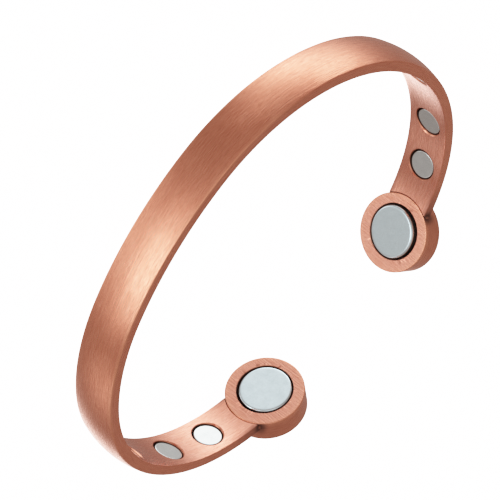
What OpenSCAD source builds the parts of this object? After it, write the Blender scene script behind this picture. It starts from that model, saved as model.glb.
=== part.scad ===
// Open copper bracelet for the wrist: a springy band with a round cup soldered to each end,
// a disc magnet in each cup and three smaller ones let into the inside of the band near each end.
// It lies on its side, as it rests on a table: on both cups' rims and on the back's lower edge.
// Millimetres, +Z up. The opening faces -Y, and the back, opposite it, faces +Y.

/* [Wrist curve] */
// Inside radius of the flattest stretch, the back, opposite the opening
back_r = 46.5; // [38:0.5:60]
// Degrees that the back turns
back_deg = 27.5; // [20:0.5:34]
// Inside radius of the shoulders, on either side of the back
shoulder_r = 28.6; // [26:0.1:34]
// Degrees that the right shoulder turns
right_shoulder_deg = 103; // [92:0.5:110]
// Degrees that the left shoulder turns
left_shoulder_deg = 30.5; // [20:0.5:40]
// Inside radius of the corners, which bring the ends round to the opening
corner_r = 24.5; // [21:0.1:27]
// Degrees that the right corner turns
right_corner_deg = 47.5; // [40:0.5:56]
// Degrees that the left corner turns
left_corner_deg = 92; // [80:0.5:98]

/* [Band] */
// Width of the band, from one side edge to the other
band_w = 7; // [6.4:0.1:8.5]
// Thickness at the side edges
side_t = 1.62; // [1.4:0.02:2.4]
// How far the rounded outside rises above the side edges, at the middle of the width
crown_h = 0.54; // [0.3:0.02:0.9]
// Chamfer between the outside and a side edge
outer_chamfer = 0.2; // [0.1:0.01:0.35]
// Chamfer between the inside and a side edge
inner_chamfer = 0.08; // [0.04:0.01:0.2]

/* [End cups] */
// Diameter of each cup
cup_d = 11.6; // [10.8:0.1:12.4]
// Height of the right cup, from its open face to its back
right_cup_h = 3.45; // [2.8:0.05:4.2]
// The same for the left cup
left_cup_h = 3.9; // [2.8:0.05:4.2]
// Distance from the point where the band's bends end to the right cup's centre
right_cup_reach = 6.05; // [5.6:0.05:6.6]
// The same for the left cup
left_cup_reach = 5.9; // [5.6:0.05:6.6]
// How far the cup's open face lies below the inside of the band where they meet
cup_sink = 0.08; // [0:0.01:0.2]
// Degrees that the right cup is turned further inwards than the band's end
right_cup_turn = 4.5; // [0:0.5:8]
// The same for the left cup
left_cup_turn = 7; // [0:0.5:8]
// Rounding of the cup's rims
cup_edge_r = 0.13; // [0.05:0.01:0.25]
// Width of the fine groove left between the band's end and the cup
seam_w = 0.12; // [0.08:0.01:0.25]
// Depth of that groove, down to the solder
seam_deep = 0.5; // [0.3:0.05:0.8]
// Radius of the small bead of solder at each corner of a joint
bead_r = 0.42; // [0.3:0.02:0.5]

/* [Cup magnets] */
// How far the right cup's recess is bored off the cup's middle, towards the band
right_recess_in = 0.15; // [0:0.05:0.3]
// How far the left cup's recess is bored off the cup's middle, towards its lower rim
left_recess_low = 0.15; // [0:0.05:0.4]
// How far it is bored off the middle away from the band
left_recess_out = 0.15; // [0:0.05:0.3]
// Width of the small chamfer round the mouth of a recess or a hole
mouth_chamfer = 0.07; // [0.03:0.01:0.12]
// Diameter of the magnet in each cup
cup_magnet_d = 7.75; // [7:0.05:8.2]
// Gap between a cup magnet and the wall of its round recess, when it sits in the middle
recess_gap = 0.25; // [0.2:0.05:0.5]
// Thickness of the magnet in each cup
cup_magnet_h = 2; // [1.5:0.05:2.1]
// Rounding of its edges
cup_magnet_edge_r = 0.3; // [0.2:0.05:0.5]
// How far the middle of the right cup's magnet stands out of the cup's face
right_magnet_proud = 0.3; // [0:0.05:0.4]
// Degrees that the right cup's magnet is tilted in its glue, its side towards the band standing out
right_magnet_tilt = 5.5; // [0:0.5:6]
// How far it is slid in its recess, away from the side that stands out
right_magnet_slid = 0.18; // [0.1:0.02:0.2]
// How far the left cup's magnet lies below the cup's face
left_magnet_sunk = 0.02; // [0:0.01:0.2]
// How far it is slid in its recess, away from the band
left_magnet_slid = 0.1; // [0:0.02:0.12]

/* [Band magnets] */
// Distance along the band from the point where its bends end to the nearest magnet's centre
first_magnet = 5.55; // [4.7:0.05:7.1]
// Distance along the band from the first magnet's centre to the second one's
second_magnet = 8.15; // [6.5:0.05:10]
// The same from the second one to the third, in the right half of the band
right_third_magnet = 13.6; // [8:0.1:16]
// The same in the left half of the band
left_third_magnet = 11; // [8:0.1:16]
// How far the third magnets lie off the middle of the width, towards the uppermost side
third_magnet_off = 0.7; // [0:0.05:0.9]
// Diameter of each band magnet
band_magnet_d = 4.15; // [3.7:0.05:4.5]
// Gap between a band magnet and the wall of its hole, when it sits in the middle
hole_gap = 0.2; // [0.12:0.02:0.3]
// Thickness of each band magnet
band_magnet_h = 1.1; // [0.8:0.05:1.2]
// Rounding of its edges
band_magnet_edge_r = 0.16; // [0.08:0.02:0.3]
// How far its face lies below the inside of the band
band_magnet_sunk = 0.1; // [0.05:0.01:0.2]
// How far it is slid in its hole, towards the uppermost side
band_magnet_slid = 0.08; // [0:0.02:0.1]
// Layer of glue between any magnet and the floor below it
glue = 0.05; // [0.03:0.01:0.1]

/* [Hidden] */

copper = [0.80, 0.50, 0.38];
nickel = [0.74, 0.77, 0.78];

sweep_fn = 180;
crown_fn = 160;
round_fn = 64;
edge_fn = 16;
through = 1;

right = 0;
left = 1;
magnets_per_side = 3;
half_w = band_w / 2;
cup_r = cup_d / 2;
recess_r = cup_magnet_d / 2 + recess_gap;
hole_r = band_magnet_d / 2 + hole_gap;

// Path of the inside of the band, from the right cup round the back to the left one.
// Each bend is an arc: its inside radius and the degrees that it turns.
bends = [
    [corner_r, right_corner_deg],
    [shoulder_r, right_shoulder_deg],
    [back_r, back_deg],
    [shoulder_r, left_shoulder_deg],
    [corner_r, left_corner_deg]
];
last = len(bends) - 1;

function ray(a) = [cos(a), sin(a)];
function along(a) = [-sin(a), cos(a)];
function turned(i) = i == 0 ? 0 : turned(i - 1) + bends[i - 1][1];
function bend_centre(i) =
    i == 0 ? [0, 0] : bend_centre(i - 1) + (bends[i - 1][0] - bends[i][0]) * ray(turned(i));
function bend_length(i) = bends[i][0] * bends[i][1] * PI / 180;
all_turned = turned(last) + bends[last][1];
band_length = [for (i = 0, sum = 0; i <= last; sum = sum + bend_length(i), i = i + 1)
    sum + bend_length(i)][last];

// Bend and degrees into it, at a distance along the band from its right end
function station(s, i = 0) =
    s <= bend_length(i) || i == last
        ? [i, s / bends[i][0] * 180 / PI]
        : station(s - bend_length(i), i + 1);

// Where each end of the band meets its cup, and the cup's own direction and centre
end_turn = [0, all_turned];
end_point = [
    bend_centre(0) + bends[0][0] * ray(0),
    bend_centre(last) + bends[last][0] * ray(all_turned)
];
onward = [-1, 1];
cup_h = [right_cup_h, left_cup_h];
cup_reach = [right_cup_reach, left_cup_reach];
cup_turn = [right_cup_turn, left_cup_turn];
cup_angle = [for (side = [right, left]) end_turn[side] + onward[side] * cup_turn[side]];
cup_centre = [for (side = [right, left])
    end_point[side] + onward[side] * cup_reach[side] * along(cup_angle[side])];

// The plan is turned until both cups lie equally far towards -Y
chord = cup_centre[right] - cup_centre[left];
plan_turn = -atan2(chord[1], chord[0]);
function in_plan(p) = [
    p[0] * cos(plan_turn) - p[1] * sin(plan_turn),
    p[0] * sin(plan_turn) + p[1] * cos(plan_turn)
];

// Cross-section of the band: x outwards from its inside, y across its width
crown_r = (half_w * half_w + crown_h * crown_h) / (2 * crown_h);
crown_x = side_t + crown_h - crown_r;
beyond = side_t + crown_h + through;

// How the bracelet rests: tipped about X until the cups and the back all touch the surface
function bend_facing(a) =
    [for (i = [0 : last]) if (turned(i) + plan_turn <= a && a <= turned(i) + plan_turn + bends[i][1]) i][0];
function inside_reach(a) =
    in_plan(bend_centre(bend_facing(a))) * ray(a) + bends[bend_facing(a)][0];
back_y = inside_reach(90);

function band_drop(tip) = (back_y + side_t - outer_chamfer) * sin(tip) + half_w * cos(tip);
function cup_normal_y(side) = sin(cup_angle[side] + plan_turn);
function cup_drop(side, tip) =
    let (slope = cup_normal_y(side) * sin(tip))
    in_plan(cup_centre[side])[1] * sin(tip) + (cup_sink + cup_edge_r) * slope
        + (cup_r - cup_edge_r) * sqrt(1 - slope * slope) + cup_edge_r;
function cups_drop(tip) = max(cup_drop(right, tip), cup_drop(left, tip));
function settle(low, high, steps = 40) =
    let (middle = (low + high) / 2)
    steps == 0 ? middle
        : band_drop(middle) < cups_drop(middle) ? settle(middle, high, steps - 1)
        : settle(low, middle, steps - 1);
tip = settle(0, 20);
drop = band_drop(tip);

// Its extents as it rests, which centre it over the origin
function cup_back_y(side) =
    let (slope = cup_normal_y(side) * cos(tip))
    in_plan(cup_centre[side])[1] * cos(tip) + (cup_sink + cup_h[side] - cup_edge_r) * slope
        - (cup_r - cup_edge_r) * sqrt(1 - slope * slope) - cup_edge_r;
full_t = side_t + crown_h;
max_x = inside_reach(0) + full_t;
min_x = -inside_reach(180) - full_t;
max_y = (back_y + crown_x) * cos(tip) + crown_r;
min_y = min(cup_back_y(right), cup_back_y(left));

module resting() {
    translate([-(min_x + max_x) / 2, -(min_y + max_y) / 2, drop])
        rotate([-tip, 0, 0])
            rotate([0, 0, plan_turn])
                children();
}

// Local +Z points out of the wrist hollow, and local X is across the band
module at_station(s) {
    here = station(s);
    i = here[0];
    translate(concat(bend_centre(i), 0))
        rotate([0, 0, turned(i) + here[1]])
            translate([bends[i][0], 0, 0])
                rotate([0, 90, 0])
                    children();
}

module at_cup(side) {
    translate(concat(cup_centre[side], 0))
        rotate([0, 0, cup_angle[side]])
            rotate([0, 90, 0])
                children();
}

third_magnet = [right_third_magnet, left_third_magnet];
function magnet_station(side, k) =
    let (s = first_magnet + (k > 1 ? second_magnet : 0) + (k > 2 ? third_magnet[side] : 0))
    side == right ? s : band_length - s;

module at_magnet(side, k) {
    at_station(magnet_station(side, k))
        translate([k > 2 ? -third_magnet_off : 0, 0, 0])
            children();
}

module band_section(inset = 0) {
    side = half_w - inset;
    intersection() {
        translate([crown_x, 0])
            circle(crown_r - inset, $fn = crown_fn);
        polygon([
            [inset, inner_chamfer - side], [inset + inner_chamfer, -side],
            [side_t - outer_chamfer, -side], [side_t + through, outer_chamfer + through - side],
            [beyond, 0],
            [side_t + through, side - outer_chamfer - through], [side_t - outer_chamfer, side],
            [inset + inner_chamfer, side], [inset, side - inner_chamfer]
        ]);
    }
}

// Every other bend is a hair slimmer and runs a little way into its neighbours, so that no two
// faces coincide where bends meet. The first and the last bend run on into the cups.
hair = 0.03;
lap = 0.1;
function into_cup(side) = cup_reach[side] - sqrt(cup_r * cup_r - half_w * half_w) + 0.3;
function slimmer(i) = i % 2 == 1;
function lap_before(i) = slimmer(i) ? lap : i == 0 ? into_cup(right) : 0;
function lap_after(i) = slimmer(i) ? lap : i == last ? into_cup(left) : 0;
function degrees_along(i, length) = length / bends[i][0] * 180 / PI;

module band() {
    for (i = [0 : last]) {
        before = degrees_along(i, lap_before(i));
        after = degrees_along(i, lap_after(i));
        translate(concat(bend_centre(i), 0))
            rotate([0, 0, turned(i) - before])
                rotate_extrude(angle = before + bends[i][1] + after, $fn = sweep_fn)
                    translate([bends[i][0], 0])
                        band_section(slimmer(i) ? hair : 0);
    }
}

module seam() {
    translate([0, 0, -through])
        cylinder(h = through + seam_deep, r = cup_r + seam_w, $fn = round_fn);
}

// A disc with both rims rounded, standing on z = 0
module rounded_disc(r, h, edge) {
    rotate_extrude($fn = round_fn) {
        square([r - edge, h]);
        translate([0, edge])
            square([r, h - 2 * edge]);
        for (y = [edge, h - edge])
            translate([r - edge, y])
                circle(edge, $fn = edge_fn);
    }
}

module cup_solid(side) {
    translate([0, 0, cup_sink])
        rounded_disc(cup_r, cup_h[side], cup_edge_r);
}

module beads(side) {
    corner = sqrt(cup_r * cup_r - half_w * half_w);
    for (x = [-1, 1])
        translate([x * (half_w - bead_r / 4), -onward[side] * corner, side_t / 2])
            sphere(bead_r, $fn = edge_fn);
}

// A round pocket with a chamfered mouth, opening towards local -Z
module pocket(r, deep) {
    translate([0, 0, -through])
        cylinder(h = through + deep, r = r, $fn = round_fn);
    translate([0, 0, -mouth_chamfer])
        cylinder(h = 2 * mouth_chamfer, r1 = r + 2 * mouth_chamfer, r2 = r, $fn = round_fn);
}

recess_off = [[0, right_recess_in], [left_recess_low, left_recess_out]];
magnet_rise = [right_magnet_proud, -left_magnet_sunk];
magnet_tilt = [right_magnet_tilt, 0];
magnet_slid = [right_magnet_slid, left_magnet_slid];
// The side of each cup magnet that is nearest the band and tilts up, in degrees from local X
band_side = [148, -90];
function recess_deep(side) =
    cup_magnet_h - magnet_rise[side] + glue
        + (cup_magnet_d / 2 - cup_magnet_edge_r) * sin(magnet_tilt[side]);

module at_recess(side) {
    at_cup(side)
        translate(concat(recess_off[side], cup_sink))
            children();
}

module cuff() {
    color(copper)
        resting()
            difference() {
                union() {
                    difference() {
                        band();
                        for (side = [right, left])
                            at_cup(side)
                                seam();
                    }
                    for (side = [right, left])
                        at_cup(side) {
                            cup_solid(side);
                            beads(side);
                        }
                }
                for (side = [right, left]) {
                    at_recess(side)
                        pocket(recess_r, recess_deep(side));
                    for (k = [1 : magnets_per_side])
                        at_magnet(side, k)
                            pocket(hole_r, band_magnet_sunk + band_magnet_h + glue);
                }
            }
}

module cup_magnet(side) {
    color(nickel)
        resting()
            at_recess(side)
                rotate([0, 0, band_side[side]])
                    translate([-magnet_slid[side], 0, -magnet_rise[side]])
                        rotate([0, magnet_tilt[side], 0])
                            rounded_disc(cup_magnet_d / 2, cup_magnet_h, cup_magnet_edge_r);
}

module band_magnet(side, k) {
    color(nickel)
        resting()
            at_magnet(side, k)
                translate([-band_magnet_slid, 0, band_magnet_sunk])
                    rounded_disc(band_magnet_d / 2, band_magnet_h, band_magnet_edge_r);
}

cuff();
cup_magnet(right);  // cup_magnet_right
cup_magnet(left);  // cup_magnet_left
band_magnet(right, 1);  // band_magnet_right_1
band_magnet(right, 2);  // band_magnet_right_2
band_magnet(right, 3);  // band_magnet_right_3
band_magnet(left, 1);  // band_magnet_left_1
band_magnet(left, 2);  // band_magnet_left_2
band_magnet(left, 3);  // band_magnet_left_3
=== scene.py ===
import math

import bmesh
import bpy
import numpy as np
from mathutils import Matrix


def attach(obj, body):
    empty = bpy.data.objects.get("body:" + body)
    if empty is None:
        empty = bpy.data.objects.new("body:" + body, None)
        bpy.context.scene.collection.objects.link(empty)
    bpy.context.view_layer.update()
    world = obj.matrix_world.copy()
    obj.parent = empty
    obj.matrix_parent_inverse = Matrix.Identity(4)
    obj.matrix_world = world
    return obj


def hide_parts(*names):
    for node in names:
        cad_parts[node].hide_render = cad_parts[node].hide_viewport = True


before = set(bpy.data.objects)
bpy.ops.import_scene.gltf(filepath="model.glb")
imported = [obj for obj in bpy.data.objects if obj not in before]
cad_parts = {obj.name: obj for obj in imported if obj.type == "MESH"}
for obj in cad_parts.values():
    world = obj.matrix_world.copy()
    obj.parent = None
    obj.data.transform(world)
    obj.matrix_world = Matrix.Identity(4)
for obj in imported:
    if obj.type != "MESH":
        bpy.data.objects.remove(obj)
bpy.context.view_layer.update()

# The two sides of the bracelet, and which way along the band each cup lies
RIGHT, LEFT = 0, 1
SIDES = (RIGHT, LEFT)
ONWARD = (-1, 1)

# The part's sizes in millimetres and degrees, as in its source; a pair is for the right and left side
CORNER_R, SHOULDER_R, BACK_R = 24.5, 28.6, 46.5
BENDS = [(CORNER_R, 47.5), (SHOULDER_R, 103.0), (BACK_R, 27.5), (SHOULDER_R, 30.5), (CORNER_R, 92.0)]
BAND_W, SIDE_T, CROWN_H = 7.0, 1.62, 0.54
CUP_D, CUP_SINK, CUP_EDGE_R = 11.6, 0.08, 0.13
CUP_H = (3.45, 3.9)
CUP_REACH = (6.05, 5.9)
CUP_TURN = (4.5, 7)
SEAM_W, SEAM_DEEP, BEAD_R = 0.12, 0.5, 0.42
RECESS_D, CUP_MAGNET_D, CUP_MAGNET_H, CUP_MAGNET_EDGE_R = 8.25, 7.75, 2.0, 0.3
RECESS_OFF = ((0, 0.15), (0.15, 0.15))
MAGNET_RISE = (0.3, -0.02)
MAGNET_SLID = (0.18, 0.1)
MAGNET_TILT = (5.5, 0)
MAGNET_TILT_SIDE = (148, -90)
HOLE_D, BAND_MAGNET_D, BAND_MAGNET_H, BAND_MAGNET_EDGE_R = 4.55, 4.15, 1.1, 0.16
BAND_MAGNET_SUNK, BAND_MAGNET_SLID = 0.1, 0.08
MAGNETS_ALONG = ((5.55, 13.7, 27.3), (5.55, 13.7, 24.7))
THIRD_MAGNET_OFF = 0.7
GLUE, MOUTH = 0.05, 0.07
HALF_W, CUP_R = BAND_W / 2, CUP_D / 2
HOLE_DEEP = BAND_MAGNET_SUNK + BAND_MAGNET_H + GLUE

# How the part lies, as its source works it out
PLAN_TURN, TIP, SHIFT = -57.6901, 2.41959, (7.8531, -1.08552, 4.79486)
REST = (Matrix.Diagonal((0.001, 0.001, 0.001, 1)) @ Matrix.Translation(SHIFT)
        @ Matrix.Rotation(math.radians(-TIP), 4, "X") @ Matrix.Rotation(math.radians(PLAN_TURN), 4, "Z"))

# Finer forms that only the looks need: the outer edge is crisp between two stretches of the band
INNER_EDGE_R, SOFT_EDGE_R, CRISP_EDGE_R, USUAL_EDGE_R = 0.1, 0.3, 0.11, 0.2
TURNS_CRISP, TURNS_SOFT = (52, 62), (108, 122)
HOLLOW = 0.012
HOLLOW_FADES_IN = (0.9, 1.9)
BAND_INTO_CUP = 0.3
MOUTH_ROUNDING = ((1, 0), (0.3, 0.05), (0, 0.13))
SEAM_MOUTH, CUP_FACE_RING = 0.06, 0.03
BEAD_SEED = 7

# How far from the middle of a cup the band's side edges meet its wall
CUP_TO_CORNER = math.sqrt(CUP_R ** 2 - HALF_W ** 2)

# How fine the meshes are
BAND_STATIONS, CUP_SEGMENTS, DISC_SEGMENTS, SMALL_SEGMENTS, BEAD_SEGMENTS = 420, 160, 128, 96, 20


# Path of the inside of the band

def ray(a):
    return np.array([math.cos(math.radians(a)), math.sin(math.radians(a)), 0.0])


def along(a):
    return np.array([-math.sin(math.radians(a)), math.cos(math.radians(a)), 0.0])


turned = [sum(b[1] for b in BENDS[:i]) for i in range(len(BENDS) + 1)]
centres = [np.zeros(3)]
for i in range(1, len(BENDS)):
    centres.append(centres[-1] + (BENDS[i - 1][0] - BENDS[i][0]) * ray(turned[i]))
lengths = [r * math.radians(d) for r, d in BENDS]
BAND_LENGTH = sum(lengths)


def station(s):
    """Bend and direction at a distance along the band; both ends run on along their own bend."""
    for i, length in enumerate(lengths):
        if s <= length or i == len(BENDS) - 1:
            return i, turned[i] + math.degrees(s / BENDS[i][0])
        s -= length


def frame_at(centre, a):
    """Local +Z points out of the wrist hollow, and local X is across the band."""
    m = np.eye(4)
    m[:3, 0] = (0, 0, -1)
    m[:3, 1] = along(a)
    m[:3, 2] = ray(a)
    m[:3, 3] = centre
    return m


def at_station(s):
    i, a = station(s)
    return frame_at(centres[i] + BENDS[i][0] * ray(a), a)


def at_cup(side):
    i = (0, len(BENDS) - 1)[side]
    a_end = (0, turned[-1])[side]
    a = a_end + ONWARD[side] * CUP_TURN[side]
    end = centres[i] + BENDS[i][0] * ray(a_end)
    return frame_at(end + ONWARD[side] * CUP_REACH[side] * along(a), a)


def placed(m, x=0.0, y=0.0, z=0.0, about_z=0.0, about_y=0.0):
    """A frame moved in its own axes, then turned about its own Z and Y, in degrees."""
    step = (Matrix.Translation((x, y, z)) @ Matrix.Rotation(math.radians(about_z), 4, "Z")
            @ Matrix.Rotation(math.radians(about_y), 4, "Y"))
    return m @ np.array(step)


def at_recess(side):
    return placed(at_cup(side), *RECESS_OFF[side], CUP_SINK)


def at_cup_magnet(side):
    turned_in = placed(at_recess(side), about_z=MAGNET_TILT_SIDE[side])
    return placed(turned_in, -MAGNET_SLID[side], 0, -MAGNET_RISE[side], about_y=MAGNET_TILT[side])


def recess_deep(side):
    low_side = (CUP_MAGNET_D / 2 - CUP_MAGNET_EDGE_R) * math.sin(math.radians(MAGNET_TILT[side]))
    return CUP_MAGNET_H - MAGNET_RISE[side] + GLUE + low_side


def at_magnet(side, k):
    s = MAGNETS_ALONG[side][k - 1]
    m = at_station(s if side == RIGHT else BAND_LENGTH - s)
    if k == 3:
        m[2, 3] += THIRD_MAGNET_OFF
    return m


def bead_place(side, hand):
    """Middle of a bead of solder in the axes of its cup; hand is -1 or 1, for the band's two edges."""
    return np.array([hand * (HALF_W - BEAD_R / 4), -ONWARD[side] * CUP_TO_CORNER, SIDE_T / 2])


# Meshes: points in millimetres, faces, and a UV in millimetres for each face corner

def moved(mesh, m):
    points, faces, uvs = mesh
    p = np.c_[np.array(points), np.ones(len(points))] @ m.T
    return [tuple(q[:3]) for q in p], faces, uvs


def band_profile(edge_r):
    """Cross-section: x outwards from the inside, z across. Counter-clockwise as seen from +s."""
    crown_r = (HALF_W ** 2 + CROWN_H ** 2) / (2 * CROWN_H)
    crown_x = SIDE_T + CROWN_H - crown_r
    fx = crown_x + math.sqrt((crown_r - edge_r) ** 2 - (HALF_W - edge_r) ** 2)
    fz = HALF_W - edge_r
    meet = math.atan2(fz, fx - crown_x)
    half = []
    for t in np.linspace(0, 1, 9)[:-1]:
        a = meet * t
        half.append((crown_x + crown_r * math.cos(a), crown_r * math.sin(a)))
    for t in np.linspace(0, 1, 7):
        a = meet + (math.pi / 2 - meet) * t
        half.append((fx + edge_r * math.cos(a), fz + edge_r * math.sin(a)))
    for t in np.linspace(0, 1, 5)[1:-1]:
        half.append((fx + (INNER_EDGE_R - fx) * t, HALF_W))
    for t in np.linspace(0, 1, 5):
        a = math.pi / 2 * (1 + t)
        half.append((INNER_EDGE_R + INNER_EDGE_R * math.cos(a),
                     HALF_W - INNER_EDGE_R + INNER_EDGE_R * math.sin(a)))
    for t in np.linspace(0, 1, 6)[1:]:
        half.append((0.0, (HALF_W - INNER_EDGE_R) * (1 - t)))
    return half + [(x, -z) for x, z in half[-2:0:-1]]


def smoothstep(a, b, x):
    t = min(max((x - a) / (b - a), 0), 1)
    return t * t * (3 - 2 * t)


def crispness(s):
    """The outer edge is crisp along the back and softer round the corners."""
    return smoothstep(*TURNS_CRISP, s) * (1 - smoothstep(*TURNS_SOFT, s))


def edge_radius(s):
    return SOFT_EDGE_R - (SOFT_EDGE_R - CRISP_EDGE_R) * crispness(s)


def unevenness(s, z):
    """Slight hollows that hand finishing leaves in the outside, always inwards."""
    waves = (math.sin(s * 0.41 + 0.8 * z) + math.sin(s * 0.23 - 0.5 * z + 1.3)
             + math.sin(s * 0.83 + 2.1))
    return HOLLOW * (waves / 3 - 1)


def band_mesh():
    right_end, left_end = [reach - CUP_TO_CORNER + BAND_INTO_CUP for reach in CUP_REACH]
    stations = np.linspace(-right_end, BAND_LENGTH + left_end, BAND_STATIONS)
    points, faces, uvs = [], [], []
    for s in stations:
        m = at_station(s)
        for x, z in band_profile(edge_radius(s)):
            deep = unevenness(s, z) * smoothstep(*HOLLOW_FADES_IN, x)
            points.append(tuple(m[:3, 3] + m[:3, 2] * (x + deep) + np.array([0, 0, z])))
    usual = band_profile(USUAL_EDGE_R)
    n = len(usual)
    v = np.concatenate([[0], np.cumsum(np.hypot(*np.diff(np.array(usual + usual[:1]), axis=0).T))])
    for i in range(BAND_STATIONS - 1):
        u, next_u = stations[i], stations[i + 1]
        for j in range(n):
            k = (j + 1) % n
            a, b = i * n, (i + 1) * n
            faces.append((a + j, a + k, b + k, b + j))
            uvs += [(u, v[j]), (u, v[j + 1]), (next_u, v[j + 1]), (next_u, v[j])]
    first = list(range(n))
    for end in (first[::-1], [q + (BAND_STATIONS - 1) * n for q in first]):
        faces.append(tuple(end))
        uvs += [(points[q][0], points[q][2]) for q in end]
    return points, faces, uvs


def arc(cr, cz, r, a0, a1, steps):
    """Points of a quarter round in a lathe profile."""
    return [(cr + r * math.cos(math.radians(a)), cz + r * math.sin(math.radians(a)))
            for a in np.linspace(a0, a1, steps)]


def lathe(profile, segments):
    """Turns a closed profile, from the axis round to the axis, about Z. Faces point outwards."""
    points, faces, uvs, rings = [], [], [], []
    angles = [2 * math.pi * i / segments for i in range(segments)]
    for r, z in profile:
        if r < 1e-9:
            rings.append([len(points)])
            points.append((0.0, 0.0, z))
        else:
            rings.append(list(range(len(points), len(points) + segments)))
            points += [(r * math.cos(a), r * math.sin(a), z) for a in angles]
    for (r0, z0), (r1, z1), low, high in zip(profile, profile[1:], rings, rings[1:]):
        flat = abs(z1 - z0) < abs(r1 - r0)
        round_length = 2 * math.pi * max(r0, r1)
        for i in range(segments):
            j = (i + 1) % segments
            if len(low) == 1:
                face = (low[0], high[j], high[i])
                turns = (i + 0.5, i + 1, i)
            elif len(high) == 1:
                face = (low[i], low[j], high[0])
                turns = (i, i + 1, i + 0.5)
            else:
                face = (low[i], low[j], high[j], high[i])
                turns = (i, i + 1, i + 1, i)
            faces.append(face)
            for q, turn in zip(face, turns):
                x, y, z = points[q]
                uvs.append((x, y) if flat else (round_length * turn / segments, z))
    return points, faces, uvs


def rounded_disc(r, h, edge, segments):
    """A disc on z = 0 with both rims rounded; its open face is the one at z = 0."""
    flat = r - edge
    profile = [(flat * share, 0) for share in (0, 0.35, 0.7, 0.93)]
    profile += arc(flat, edge, edge, -90, 0, 9) + arc(flat, h - edge, edge, 0, 90, 9) + [(0, h)]
    return lathe(profile, segments)


def pocket_tool(r, deep, segments):
    """Cuts a round pocket with a rounded mouth at z = 0, and clears what lies before it."""
    clear = 0.6
    profile = [(0, -clear), (r + MOUTH + clear, -clear)]
    profile += [(r + MOUTH * share, z) for share, z in MOUTH_ROUNDING]
    return lathe(profile + [(r, deep), (0, deep)], segments)


def seam_tool():
    """Cuts the fine groove round a cup into the end of the band."""
    r = CUP_R + SEAM_W
    profile = [(0, -1), (r + 0.5, -1), (r + SEAM_MOUTH, 0), (r, SEAM_MOUTH), (r, SEAM_DEEP), (0, SEAM_DEEP)]
    return lathe(profile, CUP_SEGMENTS)


def bead_mesh(middle, seed):
    """A small uneven lump of solder."""
    rng = np.random.default_rng(seed)
    phase = rng.uniform(0, 6.28, 6)
    ball = [(0, -1)] + [(math.cos(a), math.sin(a)) for a in np.linspace(-1.4, 1.4, 11)] + [(0, 1)]
    points, faces, uvs = lathe(ball, BEAD_SEGMENTS)
    lumpy = []
    for px, py, pz in points:
        k = BEAD_R * (0.93 + 0.07 * math.sin(3 * px + phase[0]) * math.sin(4 * py + phase[1])
                      + 0.05 * math.sin(6 * pz + phase[2]) * math.sin(5 * px + phase[3]) - 0.05)
        lumpy.append((middle[0] + k * px, middle[1] + k * py, middle[2] + k * pz))
    return lumpy, faces, uvs


def joined(meshes):
    points, faces, uvs = [], [], []
    for p, f, u in meshes:
        base = len(points)
        points += p
        faces += [tuple(q + base for q in face) for face in f]
        uvs += u
    return points, faces, uvs


def make_object(name, mesh):
    points, faces, uvs = mesh
    data = bpy.data.meshes.new(name)
    data.from_pydata(points, [], faces)
    layer = data.uv_layers.new(name="UVMap")
    layer.data.foreach_set("uv", np.array(uvs, dtype=np.float32).ravel())
    obj = bpy.data.objects.new(name, data)
    bpy.context.scene.collection.objects.link(obj)
    return obj


def cut(obj, tool):
    """Subtracts a closed mesh from another and keeps the result as plain mesh."""
    mod = obj.modifiers.new("cut", "BOOLEAN")
    mod.operation = "DIFFERENCE"
    mod.solver = "EXACT"
    mod.object = tool
    graph = bpy.context.evaluated_depsgraph_get()
    done = bpy.data.meshes.new_from_object(obj.evaluated_get(graph))
    obj.modifiers.clear()
    obj.data = done
    bpy.data.objects.remove(tool)


# Marks on the cuff: each function gives one number for each point

def local(points, m):
    """Points in the axes of a frame."""
    return (points - m[:3, 3]) @ m[:3, :3]


def in_bend(points, i):
    """Angle from the start of a bend in degrees, and distance from its centre, of each point."""
    before = 20
    q = points - centres[i]
    angle = (np.degrees(np.arctan2(q[:, 1], q[:, 0])) - turned[i] + before) % 360 - before
    return angle, np.hypot(q[:, 0], q[:, 1])


def fade(distance, start, over):
    """Falls from full near the mark to nothing away from it."""
    return np.clip(start - distance / over, 0, 1)


def pockets():
    """Frame, radius and depth of each recess and hole."""
    found = [(at_recess(side), RECESS_D / 2, recess_deep(side)) for side in SIDES]
    return found + [(at_magnet(side, k), HOLE_D / 2, HOLE_DEEP) for side in SIDES for k in (1, 2, 3)]


# How dark each place is made: residue of solder and grime round the joints, and every pocket darkened
# nearly to black
POCKET_DARKENING, SEAM_STAIN, BARE_SOLDER_STAIN, EDGE_STAIN = 1, 0.9, 0.78, 0.62
WALL_STAIN, WALL_STAIN_BY_BAND = 0.05, 0.2

# Where it lies: how near a surface counts as on it, and how far each mark reaches
ON_SURFACE, IN_SEAM, IN_POCKET = 0.02, 0.01, 0.05
CLEAN_MOUTH, CLEAN_FACE, CLEAN_WALL_TOP = 0.06, 0.12, 0.3
SEAM_FROM, SEAM_TO = 0.14, 0.6
HEAT_SIZE, HEAT_START = np.array([0.9, 1.1, 1.5]), 1.5
EDGE_STAIN_LENGTH, EDGE_STAIN_ABOVE = 5.5, 1.5

# Painted highlight of lighter copper along the edges: how strong at the edge itself, and how wide
BAND_HIGHLIGHT, CUP_HIGHLIGHT = (1.6, 0.08), (1.7, 0.1)
SOFT_EDGE_HIGHLIGHT, CUP_HIGHLIGHT_MOST = 0.04, 0.9
HIGHLIGHT_PAST_BEND, INNER_PAST_BEND = 4, 8


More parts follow.
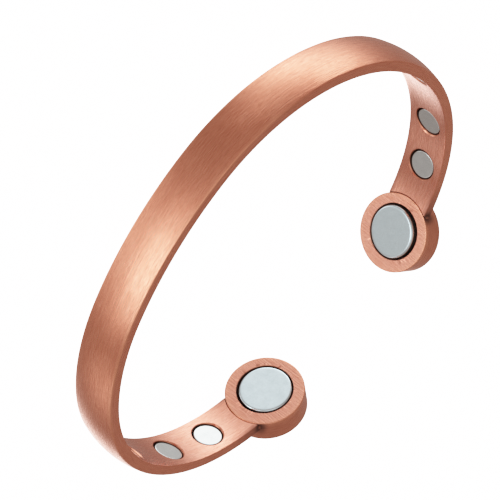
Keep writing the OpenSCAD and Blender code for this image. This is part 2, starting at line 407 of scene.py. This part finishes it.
def darkening_of(p):
    """How dark each point is made: from solder heat and grime round the joints, and nearly black inside
    every pocket.
    """
    darkening = np.zeros(len(p))
    for m, r, deep in pockets():
        q = local(p, m)
        inside = (np.hypot(q[:, 0], q[:, 1]) < r + IN_POCKET) & (q[:, 2] > CLEAN_MOUTH)
        # The wall of every pocket, below its mouth, is darkened nearly to black
        darkening[inside & (q[:, 2] < deep + ON_SURFACE)] = POCKET_DARKENING
    for side in SIDES:
        q = local(p, at_cup(side))
        ring = np.hypot(q[:, 0], q[:, 1])
        deep = q[:, 2]
        to_band = -ONWARD[side] * q[:, 1]
        for hand in (-1, 1):
            heat = np.array([hand * HALF_W, -ONWARD[side] * CUP_TO_CORNER, SIDE_T / 2])
            far = np.linalg.norm((q - heat) / HEAT_SIZE, axis=1)
            darkening = np.maximum(darkening, np.where(deep < CLEAN_FACE, 0, fade(far, HEAT_START, 1)))
            on_edge = (hand * q[:, 0] > HALF_W - CLEAN_FACE) & (ring > CUP_R + ON_SURFACE)
            on_edge &= (to_band > 0) & (deep > -EDGE_STAIN_ABOVE)
            dark = EDGE_STAIN * fade(to_band - CUP_TO_CORNER, 1, EDGE_STAIN_LENGTH)
            darkening = np.maximum(darkening, np.where(on_edge, dark, 0))
        on_wall = (np.abs(ring - CUP_R) < ON_SURFACE) & (deep > CLEAN_WALL_TOP)
        dark = WALL_STAIN + WALL_STAIN_BY_BAND * np.clip(to_band / CUP_R, 0, 1)
        darkening = np.maximum(darkening, np.where(on_wall, dark, 0))
        in_seam = (ring > CUP_R - IN_SEAM) & (ring < CUP_R + SEAM_W + IN_SEAM)
        in_seam &= (deep > SEAM_FROM) & (deep < SEAM_TO) & (np.abs(q[:, 0]) < HALF_W) & (to_band > 0)
        darkening[in_seam] = np.maximum(darkening[in_seam], SEAM_STAIN)
        for hand in (-1, 1):
            near = np.linalg.norm(q - bead_place(side, hand), axis=1) < BEAD_R * 1.02
            darkening[near & (hand * q[:, 0] > HALF_W + CLEAN_FACE)] = BARE_SOLDER_STAIN
    return darkening


def edge_highlight_of(p):
    """How much painted highlight each point gets: lighter copper along the band's outer edges and the cups'
    rims.
    """
    edge_highlight = np.zeros(len(p))
    for i, (r, degrees) in enumerate(BENDS):
        angle, ring = in_bend(p, i)
        here = (angle > -HIGHLIGHT_PAST_BEND) & (angle < degrees + HIGHLIGHT_PAST_BEND)
        crisp = np.array([crispness(sum(lengths[:i]) + r * math.radians(a)) for a in angle])
        off = np.hypot(ring - r - (SIDE_T - ON_SURFACE), np.abs(p[:, 2]) - (HALF_W - ON_SURFACE))
        # Painted highlight along the band's outer edge, strongest where the edge is crisp
        highlit = fade(off, *BAND_HIGHLIGHT) * (SOFT_EDGE_HIGHLIGHT + (1 - SOFT_EDGE_HIGHLIGHT) * crisp)
        edge_highlight = np.maximum(edge_highlight, np.where(here, highlit, 0))
    for side in SIDES:
        q = local(p, at_cup(side))
        ring = np.hypot(q[:, 0], q[:, 1])
        off = np.hypot(ring - (CUP_R - ON_SURFACE), q[:, 2] - (CUP_SINK + ON_SURFACE))
        # Painted highlight round each cup's rim
        edge_highlight = np.maximum(edge_highlight, CUP_HIGHLIGHT_MOST * fade(off, *CUP_HIGHLIGHT))
    return edge_highlight


def inner_of(p):
    """One for the points of the band's inside and of the cups' faces, whose copper is pinker."""
    inner = np.zeros(len(p))
    for i, (r, degrees) in enumerate(BENDS):
        angle, ring = in_bend(p, i)
        here = (angle > -INNER_PAST_BEND) & (angle < degrees + INNER_PAST_BEND)
        inner[here & (ring < r + ON_SURFACE)] = 1
    for side in SIDES:
        q = local(p, at_cup(side))
        on_cup = (np.hypot(q[:, 0], q[:, 1]) < CUP_R + IN_POCKET) & (q[:, 2] > -1)
        inner[on_cup] = (q[on_cup, 2] < CUP_SINK + CUP_FACE_RING)
    return inner


# The cuff: band, cut for the seams and the magnets, with the cups and the solder

def make_cup(side):
    r, e, h = CUP_R, CUP_EDGE_R, CUP_H[side]
    profile = [(0, 0), (r * 0.85, 0), (r - e - CUP_FACE_RING, 0)] + arc(r - e, e, e, -90, 0, 7)
    profile += [(r, h * t) for t in (0.25, 0.5, 0.75)] + arc(r - e, h - e, e, 0, 90, 7)
    profile += [(r * t, h) for t in (0.7, 0.4, 0)]
    cup = make_object("cup", moved(lathe(profile, CUP_SEGMENTS), placed(at_cup(side), z=CUP_SINK)))
    recess = pocket_tool(RECESS_D / 2, recess_deep(side), DISC_SEGMENTS)
    cut(cup, make_object("tool", moved(recess, at_recess(side))))
    return cup


def make_cuff():
    band = make_object("cuff_metal", band_mesh())
    tools, beads = [], []
    for side in SIDES:
        tools.append(moved(seam_tool(), at_cup(side)))
        for k in (1, 2, 3):
            tools.append(moved(pocket_tool(HOLE_D / 2, HOLE_DEEP, SMALL_SEGMENTS), at_magnet(side, k)))
        for hand in (-1, 1):
            bead = bead_mesh(bead_place(side, hand), BEAD_SEED + 2 * side + hand)
            beads.append(moved(bead, at_cup(side)))
    cut(band, make_object("tools", joined(tools)))
    bm = bmesh.new()
    bm.from_mesh(band.data)
    for extra in (make_cup(RIGHT), make_cup(LEFT), make_object("beads", joined(beads))):
        bm.from_mesh(extra.data)
        bpy.data.objects.remove(extra)
    bm.to_mesh(band.data)
    bm.free()
    points = np.array([tuple(v.co) for v in band.data.vertices])
    for name, marked in (("darkening", darkening_of), ("edge_highlight", edge_highlight_of), ("inner", inner_of)):
        layer = band.data.attributes.new(name, "FLOAT", "POINT")
        layer.data.foreach_set("value", marked(points).astype(np.float32))
    return band


# Materials and the light, all of nodes

class Graph:
    """A short way to write a node tree: each call adds a node and links what is given by socket name."""

    def __init__(self, owner):
        owner.use_nodes = True
        self.tree = owner.node_tree
        self.tree.nodes.clear()

    def set(self, socket, value):
        if isinstance(value, bpy.types.NodeSocket):
            self.tree.links.new(value, socket)
        else:
            socket.default_value = value

    def add(self, kind, settings=None, **inputs):
        """Inputs go by their sockets' names, with _ for a space, or by place as i0, i1 and so on."""
        node = self.tree.nodes.new(kind)
        for key, value in (settings or {}).items():
            setattr(node, key, value)
        for key, value in inputs.items():
            by_place = key[0] == "i" and key[1:].isdigit()
            self.set(node.inputs[int(key[1:]) if by_place else key.replace("_", " ")], value)
        return node

    def math(self, operation, a, b=0.0, c=0.0, clamp=False):
        settings = {"operation": operation, "use_clamp": clamp}
        return self.add("ShaderNodeMath", settings, i0=a, i1=b, i2=c).outputs[0]

    def mix(self, factor, a, b):
        node = self.add("ShaderNodeMix", {"data_type": "RGBA"}, Factor=factor)
        for socket, value in ((node.inputs[6], a), (node.inputs[7], b)):
            self.set(socket, (*value, 1) if isinstance(value, tuple) else value)
        return node.outputs[2]

    def noise(self, where, scale, detail, rough=0.5):
        node = self.add("ShaderNodeTexNoise", Vector=where, Scale=scale, Detail=detail, Roughness=rough)
        return node.outputs[0]

    def spread(self, value, low, high, to_low=0.0, to_high=1.0):
        node = self.add("ShaderNodeMapRange", {"clamp": True}, Value=value, From_Min=low, From_Max=high,
                        To_Min=to_low, To_Max=to_high)
        return node.outputs[0]

    def mark(self, name):
        return self.add("ShaderNodeAttribute", {"attribute_name": name}).outputs["Fac"]

    def drawn_out(self, uv, angle, length, across):
        """A place in the UV for noise that is long one way, at an angle in degrees."""
        return self.add("ShaderNodeMapping", Vector=uv, Rotation=(0, 0, math.radians(angle)),
                        Scale=(length, across, 1)).outputs[0]


# Colours of the metals, from clean to stained, with lighter copper for a painted highlight
OUTER_COPPER, OUTER_COPPER_CLOUD = (0.8, 0.299, 0.19), (0.84, 0.333, 0.215)
INNER_COPPER = (0.763, 0.329, 0.243)
COPPER_BLOTCH = (0.72, 0.255, 0.165)
DARK_STREAK, LIGHT_STREAK = (0.58, 0.18, 0.11), (0.98, 0.49, 0.35)
FINE_SCRATCH = (0.55, 0.19, 0.115)
# Lighter copper for the painted highlight along the edges
HIGHLIGHT_COPPER = (0.98, 0.43, 0.27)
# Dark copper for the residue round the joints and for the darkened pockets
DARKENED_COPPER = (0.06, 0.035, 0.03)
# Two copies of the nickel: the cup magnets' is bluish and also painted lighter, as painted light; the small
# magnets' is grey
BLUE_NICKEL_PAINTED_LIGHT, GREY_NICKEL = (0.7, 0.9, 0.98), (0.555, 0.617, 0.623)


def copper_material():
    """Copper with three layers of scratches along U, from fine to coarse, a painted highlight of lighter
    copper along the edges, and darkening round the joints and inside the pockets.
    """
    material = bpy.data.materials.new("brushed_copper")
    g = Graph(material)
    uv = g.add("ShaderNodeUVMap", {"uv_map": "UVMap"}).outputs[0]
    place = g.add("ShaderNodeTexCoord").outputs["Object"]
    fine = g.noise(g.drawn_out(uv, 2, 0.85, 10.5), 1.0, 2.0, 0.55)
    streak = g.noise(g.drawn_out(uv, 4, 0.34, 5.2), 1.0, 2.0, 0.55)
    coarse = g.noise(g.drawn_out(uv, -2, 0.1, 1.1), 1.0, 1.0, 0.55)
    blotch = g.noise(place, 130.0, 3.0, 0.55)
    cloud = g.noise(place, 45.0, 2.0)
    darkening = g.mark("darkening")
    tone = g.mix(g.spread(cloud, 0.35, 0.65), OUTER_COPPER, OUTER_COPPER_CLOUD)
    tone = g.mix(g.mark("inner"), tone, INNER_COPPER)
    tone = g.mix(g.spread(blotch, 0.4, 0.75, 0.0, 0.35), tone, COPPER_BLOTCH)
    tone = g.mix(g.spread(streak, 0.5, 0.72, 0.0, 0.5), tone, DARK_STREAK)
    tone = g.mix(g.spread(streak, 0.48, 0.26, 0.0, 0.3), tone, LIGHT_STREAK)
    tone = g.mix(g.spread(fine, 0.44, 0.68, 0.0, 0.6), tone, FINE_SCRATCH)
    # Painted highlight: lighter copper along the edges and rims
    tone = g.mix(g.math("MULTIPLY", g.mark("edge_highlight"), 0.7), tone, HIGHLIGHT_COPPER)
    # Darker copper: residue round the joints, and nearly black inside the pockets
    tone = g.mix(g.math("MULTIPLY", darkening, 0.88), tone, DARKENED_COPPER)
    rough = g.spread(fine, 0.3, 0.7, 0.21, 0.34)
    rough = g.math("ADD", rough, g.spread(coarse, 0.3, 0.7, -0.03, 0.04))
    rough = g.math("MULTIPLY_ADD", darkening, 0.25, rough, clamp=True)
    height = g.math("MULTIPLY_ADD", fine, 0.35, streak)
    bump = g.add("ShaderNodeBump", Strength=0.6, Distance=0.00006, Height=height).outputs[0]
    tangent = g.add("ShaderNodeTangent", {"direction_type": "UV_MAP", "uv_map": "UVMap"}).outputs[0]
    shader = g.add("ShaderNodeBsdfPrincipled", Base_Color=tone, Metallic=1.0, Roughness=rough,
                   Normal=bump, Tangent=tangent, Anisotropic=0.7, Anisotropic_Rotation=0.25)
    g.add("ShaderNodeOutputMaterial", Surface=shader.outputs[0])
    return material


def nickel_material(name, tint):
    """Satin nickel plating with a fine grain, blotches and faint scratches."""
    material = bpy.data.materials.new(name)
    g = Graph(material)
    uv = g.add("ShaderNodeUVMap", {"uv_map": "UVMap"}).outputs[0]
    place = g.add("ShaderNodeTexCoord").outputs["Object"]
    grain = g.noise(place, 3800.0, 2.0, 0.6)
    blotch = g.noise(place, 700.0, 3.0, 0.6)
    scratch = g.noise(g.drawn_out(uv, math.degrees(0.6), 0.4, 7), 1.0, 3.0)
    tone = g.mix(g.spread(blotch, 0.35, 0.7), tint, tuple(c * 0.9 for c in tint))
    tone = g.mix(g.spread(scratch, 0.52, 0.75, 0.0, 0.4), tone, tuple(c * 0.85 for c in tint))
    rough = g.math("ADD", g.spread(grain, 0.3, 0.7, 0.17, 0.23), g.spread(blotch, 0.3, 0.7, -0.02, 0.02))
    height = g.math("MULTIPLY", g.math("ADD", grain, scratch), 0.5)
    bump = g.add("ShaderNodeBump", Strength=0.06, Distance=0.00002, Height=height).outputs[0]
    shader = g.add("ShaderNodeBsdfPrincipled", Base_Color=tone, Metallic=1.0, Roughness=rough,
                   Normal=bump)
    g.add("ShaderNodeOutputMaterial", Surface=shader.outputs[0])
    return material


# The floor is a light table, as product studios use: it glows through, so that it shows white
FLOOR_GLOW, FLOOR_REACH = 2.5, 3


def floor_material():
    material = bpy.data.materials.new("pale_floor")
    g = Graph(material)
    soft = g.noise(g.add("ShaderNodeTexCoord").outputs["Object"], 6.0, 2.0)
    tone = g.mix(g.spread(soft, 0.3, 0.7), (0.93, 0.93, 0.93), (0.95, 0.95, 0.95))
    shader = g.add("ShaderNodeBsdfPrincipled", Base_Color=tone, Roughness=0.9, Specular_IOR_Level=0.0,
                   Emission_Color=(1, 1, 1, 1), Emission_Strength=FLOOR_GLOW)
    g.add("ShaderNodeOutputMaterial", Surface=shader.outputs[0])
    return material


# The pieces

CUFF_SMOOTH_TO, MAGNET_SMOOTH_TO = 38, 30


def dress(obj, material, node, smooth_to):
    """Puts a mesh from plan millimetres into the shared frame, gives it its material in a slot, hangs it
    under the root body and hides the CAD node it stands for.
    """
    obj.data.transform(REST)
    obj.data.update()
    obj.data.shade_smooth()
    obj.data.set_sharp_from_angle(angle=math.radians(smooth_to))
    obj.data.materials.clear()
    obj.data.materials.append(material)
    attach(obj, "root")
    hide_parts(node)


copper = copper_material()
# The cup magnets' nickel is painted lighter, as painted light
blue_nickel_painted_light = nickel_material("blue_nickel_painted_light", BLUE_NICKEL_PAINTED_LIGHT)
grey_nickel = nickel_material("grey_nickel", GREY_NICKEL)

dress(make_cuff(), copper, "cuff", CUFF_SMOOTH_TO)
for side, word in zip(SIDES, ("right", "left")):
    disc = rounded_disc(CUP_MAGNET_D / 2, CUP_MAGNET_H, CUP_MAGNET_EDGE_R, DISC_SEGMENTS)
    magnet = make_object(f"disc_magnet_{word}", moved(disc, at_cup_magnet(side)))
    dress(magnet, blue_nickel_painted_light, f"cup_magnet_{word}", MAGNET_SMOOTH_TO)
    for k in (1, 2, 3):
        disc = rounded_disc(BAND_MAGNET_D / 2, BAND_MAGNET_H, BAND_MAGNET_EDGE_R, SMALL_SEGMENTS)
        place = placed(at_magnet(side, k), -BAND_MAGNET_SLID, 0, BAND_MAGNET_SUNK)
        magnet = make_object(f"small_magnet_{word}_{k}", moved(disc, place))
        dress(magnet, grey_nickel, f"band_magnet_{word}_{k}", MAGNET_SMOOTH_TO)


# Floor, camera and light

floor_mesh = bpy.data.meshes.new("floor")
floor_corners = [(x * FLOOR_REACH, y * FLOOR_REACH, 0) for x, y in ((-1, -1), (1, -1), (1, 1), (-1, 1))]
floor_mesh.from_pydata(floor_corners, [], [(0, 1, 2, 3)])
floor_mesh.materials.append(floor_material())
floor = bpy.data.objects.new("floor", floor_mesh)
bpy.context.scene.collection.objects.link(floor)
floor.visible_glossy = False
floor.visible_shadow = False

camera = bpy.data.objects.new("camera", bpy.data.cameras.new("camera"))
bpy.context.scene.collection.objects.link(camera)
camera.data.lens = 285.6
camera.data.sensor_width = 36
camera.data.clip_start = 0.01
camera.data.clip_end = 10
camera.matrix_world = Matrix((
    (0.62999254, 0.77436639, -0.05887363, -0.03282435),
    (-0.31215147, 0.32190994, 0.8938319, 0.49055544),
    (0.71110538, -0.54472993, 0.44452046, 0.24601395),
    (0, 0, 0, 1)))
bpy.context.scene.camera = camera

# Soft white lights all round the light table: azimuth and elevation in degrees, and strength
SOFTBOXES = [
    (4, -47, 3.23), (124, -5, 2.45), (-107, -26, 2.42), (131, -16, 1.78), (9, -13, 1.72),
    (-5, -14, 1.71), (13, -28, 1.63), (136, -61, 1.44), (-20, -39, 0.97), (119, -20, 0.89),
    (135, -4, 0.86), (-173, -13, 0.81), (41, -29, 0.81), (146, -18, 0.28), (109, -8, 0.24),
    (117, -33, 0.14),
]
WASH = (105, 42, 0.6)
SOFTBOX_FOCUS, WASH_FOCUS = 36, 8
AMBIENT = (0.383, 0.303, 0.271)

# The film: what it takes as white, how soon highlights roll off, and how deep the darks are
WHITE, SHOULDER, TOE = 3.0, 1.5, 1.06
CURVE_AT = (0.015, 0.04, 0.08, 0.13, 0.2, 0.3, 0.42, 0.56, 0.75)


def studio():
    """Lights as soft lobes in the surroundings; behind the object the camera sees plain white."""
    world = bpy.data.worlds.new("studio")
    g = Graph(world)
    where = g.add("ShaderNodeTexCoord").outputs["Generated"]
    total = AMBIENT
    lights = [(*box, SOFTBOX_FOCUS) for box in SOFTBOXES] + [(*WASH, WASH_FOCUS)]
    for azimuth, elevation, strength, focus in lights:
        a, e = math.radians(azimuth), math.radians(elevation)
        towards = (math.cos(e) * math.cos(a), math.cos(e) * math.sin(a), math.sin(e))
        dot = g.add("ShaderNodeVectorMath", {"operation": "DOT_PRODUCT"}, i0=where, i1=towards)
        lobe = g.math("EXPONENT", g.math("MULTIPLY_ADD", dot.outputs["Value"], focus, -focus))
        total = g.add("ShaderNodeVectorMath", {"operation": "MULTIPLY_ADD"}, i0=lobe,
                      i1=(strength, strength, strength), i2=total).outputs[0]
    lit = g.add("ShaderNodeBackground", Color=total)
    white = g.add("ShaderNodeBackground", Color=(WHITE, WHITE, WHITE, 1))
    seen = g.add("ShaderNodeMixShader", i0=g.add("ShaderNodeLightPath").outputs["Is Camera Ray"],
                 i1=lit.outputs[0], i2=white.outputs[0])
    g.add("ShaderNodeOutputWorld", Surface=seen.outputs[0])
    bpy.context.scene.world = world


def film_response():
    """The curve of film: deep darks, and highlights that fade to cream; only WHITE itself is pure white."""
    view = bpy.context.scene.view_settings
    view.view_transform = "Standard"
    view.use_curve_mapping = True
    view.curve_mapping.white_level = (WHITE, WHITE, WHITE)
    curve = view.curve_mapping.curves[3]
    for x in CURVE_AT:
        y = (1 - math.exp(-SHOULDER * x * WHITE)) / (1 - math.exp(-SHOULDER * WHITE))
        curve.points.new(x, y ** TOE)
    view.curve_mapping.update()


studio()
film_response()
